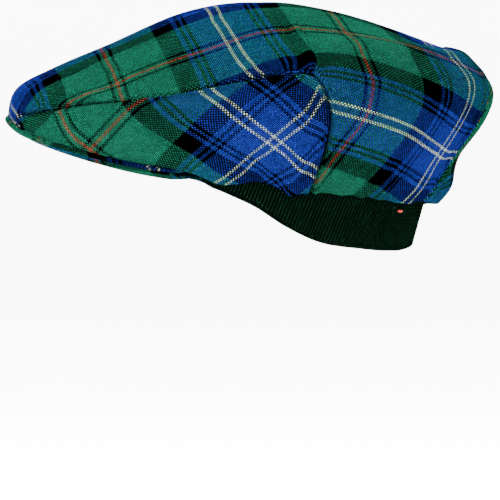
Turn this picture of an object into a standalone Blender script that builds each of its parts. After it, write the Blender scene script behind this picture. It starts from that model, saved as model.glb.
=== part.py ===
"""Three-panel flat cap of woven tartan cloth with a covered peak and a ribbed knitted ear band.

Metres, +Z up. The cap is modelled as worn: the peak points to -Y, the wearer's left is +X, and
the origin is the middle of the head opening. Azimuths are in degrees, from the nose of the peak
round the wearer's left side to the centre back. Levels run from 0 at the top of the crown to 1
at its rim.
"""

import math

import bmesh
import bpy
from mathutils import Vector

# Overall sizes
CAP_LENGTH = 0.296
CAP_WIDTH = 0.246
CREST_RISE = 0.1076

# Head opening
HEAD_LENGTH = 0.200
HEAD_WIDTH = 0.158

# Walls and clearances. RIM_LEAN is the share of its wall that the leaning rim reaches inward.
CLOTH_WALL = 0.002
KNIT_WALL = 0.003
SEAM_GAP = 0.0003
RIM_LEAN = 0.8

# Peak
PEAK_THICKNESS = 0.0045
PEAK_TIP_THICKNESS = 0.0028
PEAK_LIP = 0.0018
PEAK_HALF_SPAN = 61.0

# Ear band
BAND_HANG = 0.0412
BAND_TUCK = 0.007
BAND_TAPER = 0.007
BAND_START = 64.0

# Depth of the cloth's folds
FOLD_DEPTH = 0.005

# Azimuths where the side panels begin and end
PANEL_FRONT = 16.0
PANEL_REAR = 111.5

# Crown between its top and its rim, a row for each azimuth. A reach is a share of the cap's
# plan oval at that azimuth, and a rise is a share of CREST_RISE.
LEVELS = (0.0, 0.26, 0.5, 0.68, 0.85, 1.0)
CROWN_COLUMNS = ("azimuth", "crown_reach", "crown_rise", "top_reach", "top_rise",
                 "shoulder_reach", "shoulder_rise", "belly_reach", "belly_rise")
CROWN_SECTIONS = (
    (0, 0.297, 0.945, 0.601, 0.766, 0.818, 0.639, 0.966, 0.525),
    (20, 0.303, 0.944, 0.597, 0.755, 0.814, 0.606, 0.955, 0.455),
    (45, 0.333, 0.938, 0.613, 0.705, 0.795, 0.520, 0.915, 0.370),
    (70, 0.360, 0.935, 0.645, 0.685, 0.835, 0.465, 0.950, 0.290),
    (95, 0.384, 0.938, 0.690, 0.738, 0.885, 0.545, 0.995, 0.290),
    (120, 0.402, 0.948, 0.715, 0.780, 0.920, 0.650, 1.050, 0.330),
    (145, 0.412, 0.930, 0.755, 0.765, 0.945, 0.655, 1.020, 0.370),
    (165, 0.412, 0.914, 0.745, 0.755, 0.900, 0.668, 0.964, 0.410),
    (180, 0.412, 0.913, 0.736, 0.759, 0.862, 0.684, 0.940, 0.425),
)

# Rim of the crown, a row for each azimuth. on_head is 0 where the rim follows the peak's edge
# and 1 where it follows the head. A rise is a share of CREST_RISE: rim_rise is the crown's
# edge, and root_rise is the top of the peak where it meets the forehead.
RIM_COLUMNS = ("azimuth", "on_head", "rim_rise", "root_rise")
RIM_SECTIONS = (
    (0, 0.00, 0.381, 0.300),
    (20, 0.09, 0.265, 0.235),
    (45, 0.47, 0.115, 0.110),
    (70, 0.97, 0.028, 0.024),
    (95, 1.00, -0.028, -0.028),
    (120, 1.00, -0.074, -0.074),
    (145, 1.00, -0.102, -0.102),
    (180, 1.00, -0.120, -0.120),
)

# Seam over each side panel: the crown's level there at each azimuth.
SEAM_COLUMNS = ("azimuth", "level")
SEAM_SECTIONS = (
    (16, 0.940),
    (24, 0.908),
    (36, 0.857),
    (50, 0.798),
    (60, 0.730),
    (72, 0.680),
    (90, 0.684),
    (111.5, 0.722),
)

# Lower edge of the ear band: its fall is a share of BAND_HANG below the head opening, and its
# taper is a share of BAND_TAPER in towards the neck.
BAND_COLUMNS = ("azimuth", "fall", "taper")
BAND_SECTIONS = (
    (64, -0.02, 0.0),
    (76, 0.10, 0.1),
    (90, 0.32, 0.2),
    (104, 0.62, 0.3),
    (118, 0.84, 0.5),
    (140, 0.95, 0.8),
    (180, 1.00, 1.0),
)

# Folds and dents of the cloth. Each is a soft bump at an azimuth and a level, with its spread
# both ways, and with its push out and up as shares of FOLD_DEPTH. A row on "both" is repeated
# on the wearer's right.
FOLD_COLUMNS = ("side", "azimuth", "level", "azimuth_spread", "level_spread", "out", "up")
FOLDS = (
    ("both", 107, 0.79, 2.8, 0.10, 0.35, 0.0),
    ("both", 42, 0.80, 14.0, 0.05, 0.25, 0.1),
    ("both", 77, 1.00, 8.0, 0.07, 0.60, -0.8),
    ("both", 92, 0.98, 4.0, 0.06, 0.10, 0.3),
    ("both", 104, 1.00, 6.0, 0.06, 0.60, -0.8),
    ("both", 150, 1.00, 8.0, 0.06, 0.30, -0.3),
    ("both", 162, 0.98, 4.0, 0.05, 0.10, 0.5),
    ("left", 153, 0.53, 9.0, 0.07, -0.20, -0.35),
    ("left", 170, 0.78, 4.5, 0.14, -0.25, 0.0),
    ("left", 186, 0.84, 9.0, 0.16, 0.55, 0.0),
    ("left", 180, 0.97, 14.0, 0.04, 1.10, 0.2),
)

# Divisions of the meshes
CROWN_RING_COUNT = 11
SKIRT_ROW_COUNT = 9
NOSE_ROW_COUNT = 2
NOSE_COLUMN_COUNT = 4
SIDE_COLUMN_COUNT = 22
REAR_COLUMN_COUNT = 17
PEAK_COLUMN_COUNT = 32
PEAK_ROW_COUNT = 5
BAND_COLUMN_COUNT = 58
BAND_ROW_COUNT = 5
NORMAL_STEP = 0.01

# Colours, roughness and metallic values
CLOTH_LOOK = ((0.02, 0.16, 0.17, 1.0), 0.9, 0.0)
SIDE_LOOK = ((0.015, 0.06, 0.30, 1.0), 0.9, 0.0)
PEAK_LOOK = ((0.02, 0.20, 0.09, 1.0), 0.9, 0.0)
KNIT_LOOK = ((0.004, 0.035, 0.015, 1.0), 0.95, 0.0)


def oval_reach(azimuth, length, width):
    """Distance from the middle of an oval to its edge."""
    angle = math.radians(azimuth)
    return 1 / math.hypot(2 * math.sin(angle) / width, 2 * math.cos(angle) / length)


def curve_through(place, places, values, flat_start, flat_end):
    """Smooth curve through a table's values, level at the ends that are said to be flat."""
    runs = [after - before for before, after in zip(places, places[1:])]
    steps = [(after - before) / run for before, after, run in zip(values, values[1:], runs)]
    slopes = [(steps[i] * runs[i + 1] + steps[i + 1] * runs[i]) / (runs[i] + runs[i + 1])
              for i in range(len(steps) - 1)]
    first = 0.0 if flat_start else 1.5 * steps[0] - 0.5 * slopes[0]
    last = 0.0 if flat_end else 1.5 * steps[-1] - 0.5 * slopes[-1]
    slopes = [first] + slopes + [last]
    i = max(0, min(len(runs) - 1, sum(place >= start for start in places) - 1))
    share = (place - places[i]) / runs[i]
    rest = 1 - share
    return (values[i] * rest * rest * (1 + 2 * share)
            + values[i + 1] * share * share * (3 - 2 * share)
            + runs[i] * share * rest * (slopes[i] * rest - slopes[i + 1] * share))


def column(columns, rows, name):
    """One named column of a table."""
    return [row[columns.index(name)] for row in rows]


def at_azimuth(azimuth, columns, rows, name):
    """Value of a named column between a table's azimuths."""
    places = column(columns, rows, "azimuth")
    return curve_through(azimuth, places, column(columns, rows, name), True, True)


def folded(azimuth):
    """The azimuth from 0 to 180, alike on both sides."""
    return abs((azimuth + 180) % 360 - 180)


def rim_reach(azimuth):
    """Reach of the crown's rim, between the peak's edge and the head."""
    on_head = at_azimuth(folded(azimuth), RIM_COLUMNS, RIM_SECTIONS, "on_head")
    over_band = oval_reach(azimuth, HEAD_LENGTH, HEAD_WIDTH) + KNIT_WALL + SEAM_GAP
    over_head = over_band + RIM_LEAN * CLOTH_WALL
    return (1 - on_head) * oval_reach(azimuth, CAP_LENGTH, CAP_WIDTH) + on_head * over_head


def rim_rise(azimuth):
    """Height of the crown's rim."""
    return CREST_RISE * at_azimuth(folded(azimuth), RIM_COLUMNS, RIM_SECTIONS, "rim_rise")


def fold_push(azimuth, level):
    """Push out and up that the folds give the cloth at one place."""
    out = 0.0
    up = 0.0
    for side, centre, height, wide, tall, fold_out, fold_up in FOLDS:
        for turn in (1, -1) if side == "both" else (1,):
            across = (azimuth - turn * centre + 180) % 360 - 180
            weight = math.exp(-(across / wide) ** 2 - ((level - height) / tall) ** 2)
            out += FOLD_DEPTH * fold_out * weight
            up += FOLD_DEPTH * fold_up * weight
    return out, up


def crown_point(azimuth, level):
    """Outside of the crown at one azimuth and level."""
    side = folded(azimuth)
    plan = oval_reach(azimuth, CAP_LENGTH, CAP_WIDTH)
    reaches = [0.0]
    rises = [CREST_RISE]
    for ring in ("crown", "top", "shoulder", "belly"):
        reaches.append(plan * at_azimuth(side, CROWN_COLUMNS, CROWN_SECTIONS, ring + "_reach"))
        rises.append(CREST_RISE * at_azimuth(side, CROWN_COLUMNS, CROWN_SECTIONS, ring + "_rise"))
    reaches.append(rim_reach(azimuth))
    rises.append(rim_rise(azimuth))
    out, up = fold_push(azimuth, level)
    reach = curve_through(level, LEVELS, reaches, False, False) + out
    rise = curve_through(level, LEVELS, rises, True, False) + up
    angle = math.radians(azimuth)
    return Vector((reach * math.sin(angle), -reach * math.cos(angle), rise))


def crown_inside(azimuth, level):
    """Inside of the crown's cloth, one wall in along the surface's normal."""
    if level < NORMAL_STEP:
        return crown_point(azimuth, level) - Vector((0.0, 0.0, CLOTH_WALL))
    turn = 100 * NORMAL_STEP
    around = crown_point(azimuth + turn, level) - crown_point(azimuth - turn, level)
    down = crown_point(azimuth, level + NORMAL_STEP) - crown_point(azimuth, level - NORMAL_STEP)
    return crown_point(azimuth, level) + around.cross(down).normalized() * CLOTH_WALL


def spread(first, last, count):
    """Evenly spaced values from first to last."""
    return [first + (last - first) * i / count for i in range(count + 1)]


def new_object(name, mesh, look):
    """Link one finished mesh to the cap's collection with its own material."""
    part = bpy.data.objects.new(name, mesh)
    bpy.data.collections["flat_cap"].objects.link(part)
    material = bpy.data.materials.new(name + "_look")
    material.use_nodes = True
    shader = material.node_tree.nodes["Principled BSDF"]
    shader.inputs["Base Color"].default_value = look[0]
    shader.inputs["Roughness"].default_value = look[1]
    shader.inputs["Metallic"].default_value = look[2]
    mesh.materials.append(material)
    return part


def wall_object(name, outside, inside, faces, look):
    """Closed wall between two skins that share their faces, joined around the open edges.

    The open edges are first drawn back by half a seam gap, so that neighbours stay apart.
    """
    work = bmesh.new()
    skins = []
    for points in (outside, inside):
        skins.append([work.verts.new(point) for point in points])
    outer = [work.faces.new([skins[0][i] for i in face]) for face in faces]
    for face in faces:
        work.faces.new([skins[1][i] for i in reversed(face)])
    open_edges = [edge for face in outer for edge in face.edges if len(edge.link_faces) == 1]
    partner = dict(zip(skins[0], skins[1]))
    draw_back(open_edges, partner)
    for edge in open_edges:
        loop = edge.link_loops[0]
        start = loop.vert
        end = loop.link_loop_next.vert
        work.faces.new((end, start, partner[start], partner[end]))
    bmesh.ops.recalc_face_normals(work, faces=work.faces[:])
    mesh = bpy.data.meshes.new(name)
    work.to_mesh(mesh)
    work.free()
    return new_object(name, mesh, look)


def draw_back(open_edges, partner):
    """Move the open edge of both skins half a seam gap in, along the cloth."""
    pulls = {}
    for edge in open_edges:
        face = edge.link_faces[0]
        along = (edge.verts[1].co - edge.verts[0].co).normalized()
        inward = face.calc_center_median() - edge.verts[0].co
        inward -= along * inward.dot(along)
        for vert in edge.verts:
            pulls.setdefault(vert, []).append(inward.normalized())
    for vert, inwards in pulls.items():
        pull = sum(inwards, Vector()) / len(inwards)
        move = pull * (SEAM_GAP / 2 / max(pull.length_squared, 0.5))
        vert.co += move
        partner[vert].co += move


def seam_level(azimuth):
    """Level of the seam over the side panels, carried on level behind and before them."""
    side = min(max(folded(azimuth), PANEL_FRONT), PANEL_REAR)
    return at_azimuth(side, SEAM_COLUMNS, SEAM_SECTIONS, "level")


def top_panel():
    """Strip from the nose over the crest to the back, which reaches the rim at both ends."""
    half = (spread(0, PANEL_FRONT, NOSE_COLUMN_COUNT)
            + spread(PANEL_FRONT, PANEL_REAR, SIDE_COLUMN_COUNT)[1:]
            + spread(PANEL_REAR, 180, REAR_COLUMN_COUNT)[1:])
    azimuths = [-azimuth for azimuth in half[:0:-1]] + half[:-1]
    places = [(0.0, 0.0)]
    faces = []
    count = len(azimuths)
    for ring in range(1, CROWN_RING_COUNT + 1):
        places += [(azimuth, seam_level(azimuth) * ring / CROWN_RING_COUNT) for azimuth in azimuths]
    for i in range(count):
        after = (i + 1) % count
        faces.append((0, 1 + i, 1 + after))
        for ring in range(CROWN_RING_COUNT - 1):
            base = 1 + ring * count
            faces.append((base + i, base + count + i, base + count + after, base + after))
    outer_ring = 1 + (CROWN_RING_COUNT - 1) * count
    rear = [i for i, azimuth in enumerate(azimuths) if azimuth >= PANEL_REAR]
    rear += [i for i, azimuth in enumerate(azimuths) if azimuth <= -PANEL_REAR]
    nose = [i for i, azimuth in enumerate(azimuths) if abs(azimuth) <= PANEL_FRONT]
    for strip, rows in ((rear, SKIRT_ROW_COUNT), (nose, NOSE_ROW_COUNT)):
        above = [outer_ring + i for i in strip]
        for row in range(1, rows + 1):
            below = []
            for i in strip:
                start = seam_level(azimuths[i])
                below.append(len(places))
                places.append((azimuths[i], start + (1 - start) * row / rows))
            for i in range(len(strip) - 1):
                faces.append((above[i], below[i], below[i + 1], above[i + 1]))
            above = below
    outside = [crown_point(*place) for place in places]
    inside = [crown_inside(*place) for place in places]
    return wall_object("top_panel", outside, inside, faces, CLOTH_LOOK)


def grid_faces(columns, rows):
    """Faces of a grid whose points run row by row down each column."""
    return [(i * (rows + 1) + j, i * (rows + 1) + j + 1,
             (i + 1) * (rows + 1) + j + 1, (i + 1) * (rows + 1) + j)
            for i in range(columns) for j in range(rows)]


def side_panel(name, side):
    """Panel from the nose back to the rear seam, between the top panel and the rim."""
    places = []
    for azimuth in spread(PANEL_FRONT, PANEL_REAR, SIDE_COLUMN_COUNT):
        start = seam_level(azimuth)
        places += [(side * azimuth, level) for level in spread(start, 1.0, SKIRT_ROW_COUNT)]
    outside = [crown_point(*place) for place in places]
    inside = [crown_inside(*place) for place in places]
    faces = grid_faces(SIDE_COLUMN_COUNT, SKIRT_ROW_COUNT)
    return wall_object(name, outside, inside, faces, SIDE_LOOK)


def peak_point(azimuth, share):
    """Top of the peak, from its root at the forehead (share 0) to its lip (share 1)."""
    root = oval_reach(azimuth, HEAD_LENGTH, HEAD_WIDTH) + SEAM_GAP
    reach = root + (rim_reach(azimuth) + PEAK_LIP - root) * share
    root_rise = CREST_RISE * at_azimuth(folded(azimuth), RIM_COLUMNS, RIM_SECTIONS, "root_rise")
    rim = crown_inside(azimuth, 1.0).z
    edge_rise = min(crown_point(azimuth, 1.0).z, rim) - SEAM_GAP
    angle = math.radians(azimuth)
    rise = min(root_rise, edge_rise) * (1 - share) + edge_rise * share
    return Vector((reach * math.sin(angle), -reach * math.cos(angle), rise))


def peak_underside(azimuth, share):
    """Underside of the peak, thinner towards its two tips."""
    toward_tip = (folded(azimuth) / PEAK_HALF_SPAN) ** 2
    thickness = PEAK_THICKNESS + (PEAK_TIP_THICKNESS - PEAK_THICKNESS) * toward_tip
    return peak_point(azimuth, share) - Vector((0.0, 0.0, thickness))


def peak():
    """Stiff covered bill under the front of the crown."""
    places = [(azimuth, share) for azimuth in spread(-PEAK_HALF_SPAN, PEAK_HALF_SPAN, PEAK_COLUMN_COUNT)
              for share in spread(0.0, 1.0, PEAK_ROW_COUNT)]
    outside = [peak_point(*place) for place in places]
    inside = [peak_underside(*place) for place in places]
    faces = grid_faces(PEAK_COLUMN_COUNT, PEAK_ROW_COUNT)
    return wall_object("peak", outside, inside, faces, PEAK_LOOK)


def band_point(azimuth, share, reach_added):
    """Ear band from its tucked upper edge (share 0) to its lower edge (share 1)."""
    side = folded(azimuth)
    top = rim_rise(azimuth) + BAND_TUCK
    bottom = -BAND_HANG * at_azimuth(side, BAND_COLUMNS, BAND_SECTIONS, "fall")
    taper = BAND_TAPER * at_azimuth(side, BAND_COLUMNS, BAND_SECTIONS, "taper")
    reach = oval_reach(azimuth, HEAD_LENGTH, HEAD_WIDTH) + reach_added - taper * share * share
    angle = math.radians(azimuth)
    return Vector((reach * math.sin(angle), -reach * math.cos(angle), top + (bottom - top) * share))


def ear_band():
    """Ribbed knitted band round the sides and the back, folded down out of the crown."""
    places = [(azimuth, share)
              for azimuth in spread(BAND_START, 360 - BAND_START, BAND_COLUMN_COUNT)
              for share in spread(0.0, 1.0, BAND_ROW_COUNT)]
    outside = [band_point(azimuth, share, KNIT_WALL) for azimuth, share in places]
    inside = [band_point(azimuth, share, 0.0) for azimuth, share in places]
    faces = grid_faces(BAND_COLUMN_COUNT, BAND_ROW_COUNT)
    return wall_object("ear_band", outside, inside, faces, KNIT_LOOK)


def main():
    for item in list(bpy.data.objects):
        bpy.data.objects.remove(item, do_unlink=True)
    collection = bpy.data.collections.new("flat_cap")
    bpy.context.scene.collection.children.link(collection)
    top_panel()
    side_panel("side_panel_left", 1)
    side_panel("side_panel_right", -1)
    peak()
    ear_band()


main()
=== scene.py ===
"""Looks of a three-panel tartan flat cap with a ribbed knitted ear band.

The crown is worked out from the same named sizes and tables as the CAD part, on a finer grid.
Each cloth panel is then laid flat by calculation, and its place in the flat cloth is its UV map
in metres, so the woven pattern runs over the crown as it would on the real cap.
"""

import math

import bpy
import numpy as np
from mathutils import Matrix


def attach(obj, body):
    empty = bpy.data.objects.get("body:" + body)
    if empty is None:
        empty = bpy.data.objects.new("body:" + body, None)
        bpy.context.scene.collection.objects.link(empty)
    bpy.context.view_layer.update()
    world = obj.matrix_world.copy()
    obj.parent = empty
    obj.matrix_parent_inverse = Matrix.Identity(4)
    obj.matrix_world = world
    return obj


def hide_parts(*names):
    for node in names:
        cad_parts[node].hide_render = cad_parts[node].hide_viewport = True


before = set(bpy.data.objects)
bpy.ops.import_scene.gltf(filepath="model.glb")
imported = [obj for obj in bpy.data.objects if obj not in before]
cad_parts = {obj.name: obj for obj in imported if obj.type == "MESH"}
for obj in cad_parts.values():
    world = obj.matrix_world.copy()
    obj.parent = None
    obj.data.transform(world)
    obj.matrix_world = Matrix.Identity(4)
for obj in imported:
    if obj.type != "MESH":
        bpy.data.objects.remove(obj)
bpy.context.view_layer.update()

# Sizes of the cap, as in the CAD part, in metres
CAP_LENGTH = 0.296
CAP_WIDTH = 0.246
CREST_RISE = 0.1076
HEAD_LENGTH = 0.200
HEAD_WIDTH = 0.158
CLOTH_WALL = 0.002
KNIT_WALL = 0.003
SEAM_GAP = 0.0003
RIM_LEAN = 0.8
PEAK_THICKNESS = 0.0045
PEAK_TIP_THICKNESS = 0.0028
PEAK_LIP = 0.0018
PEAK_HALF_SPAN = 61.0
BAND_HANG = 0.0412
BAND_TUCK = 0.007
BAND_TAPER = 0.007
BAND_START = 64.0
FOLD_DEPTH = 0.005
PANEL_FRONT = 16.0
PANEL_REAR = 111.5

LEVELS = (0.0, 0.26, 0.5, 0.68, 0.85, 1.0)
CROWN_COLUMNS = ("azimuth", "crown_reach", "crown_rise", "top_reach", "top_rise",
                 "shoulder_reach", "shoulder_rise", "belly_reach", "belly_rise")
CROWN_SECTIONS = (
    (0, 0.297, 0.945, 0.601, 0.766, 0.818, 0.639, 0.966, 0.525),
    (20, 0.303, 0.944, 0.597, 0.755, 0.814, 0.606, 0.955, 0.455),
    (45, 0.333, 0.938, 0.613, 0.705, 0.795, 0.520, 0.915, 0.370),
    (70, 0.360, 0.935, 0.645, 0.685, 0.835, 0.465, 0.950, 0.290),
    (95, 0.384, 0.938, 0.690, 0.738, 0.885, 0.545, 0.995, 0.290),
    (120, 0.402, 0.948, 0.715, 0.780, 0.920, 0.650, 1.050, 0.330),
    (145, 0.412, 0.930, 0.755, 0.765, 0.945, 0.655, 1.020, 0.370),
    (165, 0.412, 0.914, 0.745, 0.755, 0.900, 0.668, 0.964, 0.410),
    (180, 0.412, 0.913, 0.736, 0.759, 0.862, 0.684, 0.940, 0.425),
)
RIM_COLUMNS = ("azimuth", "on_head", "rim_rise", "root_rise")
RIM_SECTIONS = (
    (0, 0.00, 0.381, 0.300),
    (20, 0.09, 0.265, 0.235),
    (45, 0.47, 0.115, 0.110),
    (70, 0.97, 0.028, 0.024),
    (95, 1.00, -0.028, -0.028),
    (120, 1.00, -0.074, -0.074),
    (145, 1.00, -0.102, -0.102),
    (180, 1.00, -0.120, -0.120),
)
SEAM_COLUMNS = ("azimuth", "level")
SEAM_SECTIONS = (
    (16, 0.940),
    (24, 0.908),
    (36, 0.857),
    (50, 0.798),
    (60, 0.730),
    (72, 0.680),
    (90, 0.684),
    (104, 0.702),
    (108, 0.716),
    (110.5, 0.745),
    (111.5, 0.775),
)
BAND_COLUMNS = ("azimuth", "fall", "taper")
BAND_SECTIONS = (
    (64, -0.15, 0.0),
    (68, -0.03, 0.0),
    (76, 0.10, 0.1),
    (90, 0.32, 0.2),
    (104, 0.62, 0.3),
    (118, 0.84, 0.5),
    (140, 0.96, 0.8),
    (155, 0.99, 1.0),
    (180, 0.91, 1.2),
)
FOLD_COLUMNS = ("side", "azimuth", "level", "azimuth_spread", "level_spread", "out", "up")
FOLDS = (
    ("both", 107, 0.79, 2.8, 0.10, 0.35, 0.0),
    ("both", 42, 0.80, 14.0, 0.05, 0.25, 0.1),
    ("both", 77, 1.00, 8.0, 0.07, 0.60, -0.8),
    ("both", 92, 0.98, 4.0, 0.06, 0.10, 0.3),
    ("both", 104, 1.00, 6.0, 0.06, 0.60, -0.8),
    ("both", 150, 1.00, 8.0, 0.06, 0.30, -0.3),
    ("both", 162, 0.98, 4.0, 0.05, 0.10, 0.5),
    ("left", 153, 0.53, 9.0, 0.07, -0.20, -0.35),
    ("left", 170, 0.78, 4.5, 0.14, -0.25, 0.0),
    ("left", 186, 0.82, 9.0, 0.12, 0.80, 0.0),
    ("left", 182, 0.93, 18.0, 0.03, -0.50, 0.0),
    ("left", 180, 0.985, 14.0, 0.03, 1.40, 0.2),
)

# Rear seam of the side panels: how far it leans forward at its top, and how far the grid beside
# it leans along, in degrees, and how often the way back from a leaned place is corrected
SEAM_LEAN = 3.8
SEAM_LEAN_REACH = 9.0
UNLEAN_ROUNDS = 12

# Back seam: the azimuth that it runs down, and the row of the grid where it starts
BACK_SEAM = 162.0
BACK_SEAM_ROW = 54

# Steps of the visible grids. The cloth is laid flat on a coarser one, every few rows and columns.
DISC_ROWS = 72
SKIRT_ROWS = 36
SIDE_ROWS = 42
BACK_RIGHT_STEPS = 78
SIDE_STEPS = 96
NOSE_STEPS = 30
BACK_LEFT_STEPS = 60
FLAT_ROW_STEP = 3
FLAT_COLUMN_STEP = 6

# Laying flat: rounds of fitting, and the least and the greatest weight of a triangle's side
FLAT_ROUNDS = 60
LEAST_WEIGHT = 0.02
GREATEST_WEIGHT = 5.0

# Steps for the direction that the crown faces: down it in levels, and round it in degrees
FACING_LEVEL_STEP = 0.004
FACING_TURN_STEP = 0.4

# Seams: depth and half-width of the groove, height and distance of the puffed cloth beside it, and
# how many points stand for the seam over a side panel, an upright seam and the back seam
GROOVE_DEPTH = 0.0020
GROOVE_REACH = 0.0011
PUFF_HEIGHT = 0.0012
PUFF_PLACE = 0.0026
PUFF_REACH = 0.0016
OVER_SEAM_POINTS = 260
UPRIGHT_SEAM_POINTS = 90
BACK_SEAM_POINTS = 130

# Hem: radius of its fold at the rim, its length inside, and the cloth's own thickness
HEM_RADIUS = 0.00095
HEM_LENGTH = 0.006
HEM_TURNS = 6
HEM_SHARES = (0.4, 1.0)
CLOTH_THICKNESS = 0.0009

# Grain of the top panel: where its stripes lie on the crown, counted in half repeats from the
# front red line and from the lengthwise red line on the right. Even numbers are red lines and odd
# numbers white pairs. A mark is a place on the crown that a stripe crosses, and the hold says how
# strongly the marks pull against the cloth's own stiffness.
CENTRE_STRIPE = 0.937
CREST_STRIPE = 1.438
MARK_HOLD = 4.0
MARK_COLUMNS = ("azimuth", "level", "stripe")
CROSSWISE_MARKS = (
    (4, 0.945, -1), (18, 0.750, -0.627), (26, 0.810, -0.627),
    (16, 0.705, -0.453), (24, 0.740, -0.453), (30, 0.780, -0.453), (34, 0.840, -0.453),
    (15, 0.545, 0), (31, 0.605, 0), (40, 0.665, 0), (47, 0.745, 0),
    (35, 0.220, 1), (66, 0.340, 1), (81, 0.485, 1), (88, 0.615, 1), (92, 0.680, 1),
    (100, 0.465, 1.373), (104, 0.645, 1.373), (107, 0.480, 1.547), (109, 0.670, 1.547),
    (132, 0.305, 2), (123, 0.500, 2), (120, 0.685, 2), (121, 0.770, 2), (118, 0.855, 2),
    (115, 0.900, 2), (113, 0.975, 2),
    (148, 0.675, 3), (152, 0.770, 3), (149, 0.840, 3), (150, 0.920, 3), (154, 0.975, 3),
)
LENGTHWISE_MARKS = (
    (0, 0.3, CENTRE_STRIPE), (180, 0.2, CENTRE_STRIPE), (8, 0.850, 1),
    (29, 0.675, 1.553), (29, 0.765, 1.553),
    (31, 0.865, 2), (39, 0.780, 2), (45, 0.645, 2), (56, 0.550, 2), (79, 0.475, 2),
    (108, 0.455, 2), (127, 0.520, 2), (138, 0.665, 2), (144, 0.690, 2),
    (92, 0.620, 2.453), (99, 0.605, 2.453), (107, 0.615, 2.453), (116, 0.675, 2.453),
    (105, 0.675, 2.627), (115, 0.705, 2.627),
    (112, 0.833, 3), (115, 0.843, 3), (118, 0.852, 3), (121, 0.858, 3), (124, 0.865, 3),
    (128, 0.874, 3), (131, 0.881, 3), (136, 0.894, 3), (141, 0.908, 3), (148, 0.920, 3),
    (154, 0.932, 3),
)

# Stripes of the far half of the back, beyond the back seam
FAR_COLUMNS = ("azimuth", "level", "crosswise", "lengthwise")
FAR_MARKS = ((-188, 0.830, 3.80, -0.25), (-188, 0.945, 4.00, -0.50))

# Grain of the peak: its turn, and half repeats from the middle of the head opening
PEAK_GRAIN = 12.0
PEAK_CROSSWISE = 1.55
PEAK_LENGTHWISE = 1.22

# Grain of the side panels, cut on the bias: turn of the cloth, radius, height and middle level of
# the rough start for laying it flat, and where its stripes lie that rise or fall toward the back,
# counted as above
SIDE_GRAIN = 51.0
SIDE_ROUGH_RADIUS = 0.11
SIDE_ROUGH_HEIGHT = 0.2
SIDE_MIDDLE_LEVEL = 0.7
RISING_MARKS = (
    (78, 0.990, 1), (85, 0.975, 1), (93, 0.925, 1), (98, 0.880, 1), (102, 0.850, 1), (108, 0.790, 1),
    (38, 0.995, 0), (43, 0.950, 0), (48, 0.900, 0), (53, 0.845, 0), (59, 0.750, 0),
)
FALLING_MARKS = (
    (75, 0.685, 1), (81, 0.765, 1), (87, 0.835, 1), (92, 0.875, 1), (95, 0.900, 1), (103, 0.940, 1),
    (110, 0.965, 1), (33, 0.885, 2), (32, 0.925, 2), (33, 0.950, 2), (35, 0.980, 2),
)

# Grid of the peak: steps round it, along each face and round each edge, and how it thins: the
# share of the half span over which it does, and how bluntly it ends
PEAK_STEPS = 180
PEAK_FACE_STEPS = 14
PEAK_EDGE_STEPS = 10
PEAK_THIN_RATE = 1.5
PEAK_BLUNTNESS = 24

# Gathers at the rim: depth, turn between two of them, reach up the cloth, where they start, over
# how many degrees they set in, and how uneven they are in distance and in size, each with the
# number of times that this changes round the cap
GATHER_DEPTH = 0.0010
GATHER_TURN = 8.5
GATHER_REACH = 0.07
GATHER_START = 82.0
GATHER_ONSET = 3.0
GATHER_WANDER = 1.6
GATHER_WANDERS = 5
GATHER_UNEVEN = 0.4
GATHER_CHANGES = 11

# Knit: steps of its grid, ribs, whose height is counted from the mean of their rounded section,
# stitches, with the painted shade between their rows, and the fluff that changes its tone at random.
# The ribs' rounded section also paints shade into the colour between them.
BAND_STEPS = 1320
BAND_FACE_STEPS = 15
BAND_EDGE_STEPS = 6
RIB_PITCH = 0.0021
RIB_HEIGHT = 0.0005
RIB_MEAN = 0.64
RIB_LEAN = -0.38
STITCH_PITCH = 0.0017
STITCH_SHADE = 0.3
KNIT_ROUGHNESS = 0.95
FLUFF_SCALE = 2500.0 / 3
FLUFF_CHANGE = 2.4
FLUFF_BASE = -0.2
KNIT_COLOUR = (0.0006, 0.0027, 0.0014)

# Red tack on the band: its place, half length in degrees, radius, steps along and round, bend and
# bluntness of its ends, and the scale and the colours of its twist
TACK_AZIMUTH = 151.0
TACK_TURN = 1.0
TACK_RISE = -0.0176
TACK_RADIUS = 0.0007
TACK_STEPS = 16
TACK_SIDES = 12
TACK_BEND = 0.6
TACK_BLUNTNESS = 8
TACK_ROUGHNESS = 0.9
TWIST_SCALE = 900.0
TWIST_DARK = (0.08, 0.006, 0.004)
TWIST_LIGHT = (0.20, 0.02, 0.012)

# Tartan: threads of each stripe in half a repeat, from the middle of the red line to the middle of
# the white pair, alike lengthwise and crosswise
SETT_COLUMNS = ("threads", "colour")
SETT = (
    (1, "red"),
    (2, "green"),
    (2, "black"),
    (29, "green"),
    (13, "black"),
    (3, "blue"),
    (2, "black"),
    (2, "blue"),
    (2, "black"),
    (15, "blue"),
    (2, "white"),
    (2, "blue"),
)
THREAD_PITCH = 0.000952
HALF_REPEAT = THREAD_PITCH * sum(threads for threads, colour in SETT)
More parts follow.
